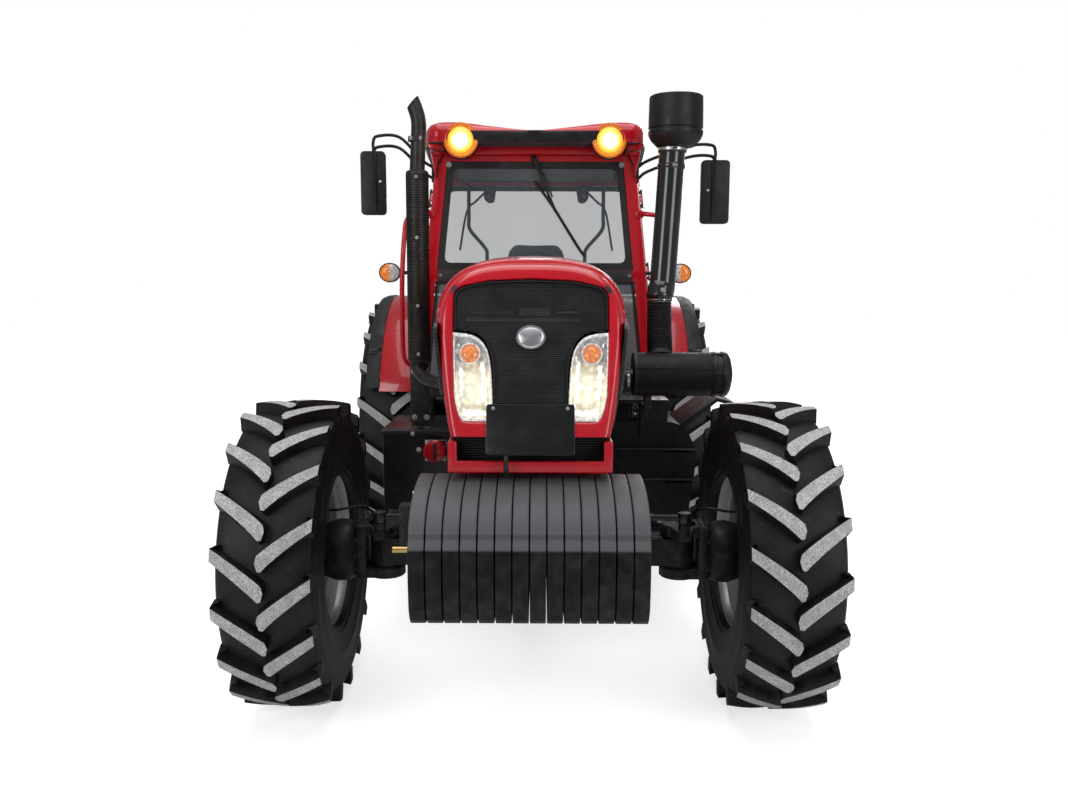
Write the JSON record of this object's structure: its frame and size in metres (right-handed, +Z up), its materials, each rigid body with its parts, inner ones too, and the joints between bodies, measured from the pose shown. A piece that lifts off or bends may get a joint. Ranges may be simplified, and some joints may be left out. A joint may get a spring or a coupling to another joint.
{
  "type": "farm tractor",
  "caption": "Four-wheel-drive farm tractor with a glazed cab, tilting hood, front ballast, steered front wheels and a rear three-point hitch.",
  "frame": {"origin": "on the ground, at the middle of the overall length and width", "axes": "+Z up, -Y toward the nose, +X toward the tractor's own left side"},
  "size_m": [2.405, 4.7588, 2.8082],
  "materials": {
    "red_paint": "gloss",
    "black_paint": "satin",
    "cast_black": "satin",
    "black_plastic": "satin",
    "rim_silver": "satin",
    "tyre": "matte",
    "glass": "gloss",
    "lamp_lens": "gloss",
    "amber_lens": "gloss",
    "bright_steel": "brushed",
    "seat_cover": "matte"
  },
  "bodies": {
    "root": {"work_lamp_left": "lamp_lens", "lower_window_left": "glass", "quarter_window_left": "glass", "fender_left": "red_paint", "handrail_left": "red_paint", "step_left": "black_paint", "mirror_left": "black_plastic", "indicator_left": "amber_lens", "work_lamp_right": "lamp_lens", "lower_window_right": "glass", "quarter_window_right": "glass", "fender_right": "red_paint", "handrail_right": "red_paint", "step_right": "black_paint", "mirror_right": "black_plastic", "indicator_right": "amber_lens", "front_axle": "black_paint", "front_frame": "black_paint", "engine": "cast_black", "transmission": "black_paint", "ballast_weights": "cast_black", "lower_fascia": "red_paint", "cab_frame": "red_paint", "cab_roof": "red_paint", "windscreen": "glass", "rear_window": "glass", "cab_interior": "black_plastic", "seat": "seat_cover", "exhaust": "black_paint", "air_cleaner": "black_plastic", "intake_stack": "black_plastic", "fuel_tank": "black_plastic", "battery_box": "black_plastic"},
    "hood": {"hood": "red_paint", "grille": "black_plastic", "number_plate": "black_plastic", "headlamp_left": "lamp_lens", "headlamp_right": "lamp_lens"},
    "toolbox_lid": {"toolbox_lid": "black_plastic"},
    "steering_wheel": {"steering_wheel": "black_plastic"},
    "steering_rod": {"steering_rod": "bright_steel"},
    "lift_arms": {"lift_arms": "black_paint"},
    "lift_rods": {"lift_rod_left": "black_paint", "lift_rod_right": "black_paint"},
    "lower_links": {"lower_link_left": "black_paint", "lower_link_right": "black_paint"},
    "door_left": {"door_left": "red_paint", "door_glass_left": "glass"},
    "knuckle_left": {"knuckle_left": "black_paint"},
    "front_left_wheel": {"front_left_tyre": "tyre", "front_left_rim": "rim_silver"},
    "rear_left_wheel": {"rear_left_tyre": "tyre", "rear_left_rim": "rim_silver"},
    "door_right": {"door_right": "red_paint", "door_glass_right": "glass"},
    "knuckle_right": {"knuckle_right": "black_paint"},
    "front_right_wheel": {"front_right_tyre": "tyre", "front_right_rim": "rim_silver"},
    "rear_right_wheel": {"rear_right_tyre": "tyre", "rear_right_rim": "rim_silver"}
  },
  "joints": [
    {"name": "steer_left", "type": "hinge", "parent": "root", "child": "knuckle_left", "pos_m": [0.64, -1.20735, 0.66], "axis": [0, 0, 1], "range_deg": [-35, 35]},
    {"name": "steer_right", "type": "hinge", "parent": "root", "child": "knuckle_right", "pos_m": [-0.64, -1.20735, 0.66], "axis": [0, 0, 1], "range_deg": [-35, 35]},
    {"name": "steering_rod_slide", "type": "slide", "parent": "root", "child": "steering_rod", "axis": [1, 0, 0], "range_m": [-0.1, 0.1]},
    {"name": "steering_wheel_turn", "type": "hinge", "parent": "root", "child": "steering_wheel", "pos_m": [0, 0.65265, 1.82], "axis": [0, 0.8, 0.6], "range_deg": [-495, 495]},
    {"name": "front_left_wheel_spin", "type": "hinge", "parent": "knuckle_left", "child": "front_left_wheel", "pos_m": [1.01, -1.20735, 0.66], "axis": [1, 0, 0], "continuous": true},
    {"name": "rear_left_wheel_spin", "type": "hinge", "parent": "root", "child": "rear_left_wheel", "pos_m": [0.895, 1.48265, 0.845], "axis": [1, 0, 0], "continuous": true},
    {"name": "front_right_wheel_spin", "type": "hinge", "parent": "knuckle_right", "child": "front_right_wheel", "pos_m": [-1.01, -1.20735, 0.66], "axis": [1, 0, 0], "continuous": true},
    {"name": "rear_right_wheel_spin", "type": "hinge", "parent": "root", "child": "rear_right_wheel", "pos_m": [-0.895, 1.48265, 0.845], "axis": [1, 0, 0], "continuous": true},
    {"name": "hood_lift", "type": "hinge", "parent": "root", "child": "hood", "pos_m": [0, 0.21265, 1.9], "axis": [-1, 0, 0], "range_deg": [0, 45]},
    {"name": "door_left_swing", "type": "hinge", "parent": "root", "child": "door_left", "pos_m": [0.76236, 1.19565, 1.884], "axis": [-0.1093, 0, 0.994], "range_deg": [0, 70]},
    {"name": "door_right_swing", "type": "hinge", "parent": "root", "child": "door_right", "pos_m": [-0.76236, 1.19565, 1.884], "axis": [-0.1093, 0, -0.994], "range_deg": [0, 70]},
    {"name": "toolbox_lid_lift", "type": "hinge", "parent": "root", "child": "toolbox_lid", "pos_m": [0.573, 0.10465, 1.198], "axis": [-1, 0, 0], "range_deg": [0, 80]},
    {"name": "lift_arms_raise", "type": "hinge", "parent": "root", "child": "lift_arms", "pos_m": [0, 1.57265, 1.13], "axis": [1, 0, 0], "range_deg": [0, 40]},
    {"name": "lift_rods_follow", "type": "hinge", "parent": "lift_arms", "child": "lift_rods", "pos_m": [0, 1.86243, 1.05235], "axis": [1, 0, 0], "range_deg": [-41, 1]},
    {"name": "lower_links_raise", "type": "hinge", "parent": "root", "child": "lower_links", "pos_m": [0, 1.65265, 0.47], "axis": [1, 0, 0], "range_deg": [0, 30]}
  ],
  "couplings": [
    {"joint": "steer_right", "follows": "steer_left", "ratio": 1},
    {"joint": "steering_rod_slide", "follows": "steer_left", "m_per_rad": 0.158},
    {"joint": "steering_wheel_turn", "follows": "steer_left", "ratio": 14},
    {"joint": "lift_rods_follow", "follows": "lift_arms_raise", "ratio": -0.984},
    {"joint": "lower_links_raise", "follows": "lift_arms_raise", "ratio": 0.74}
  ]
}
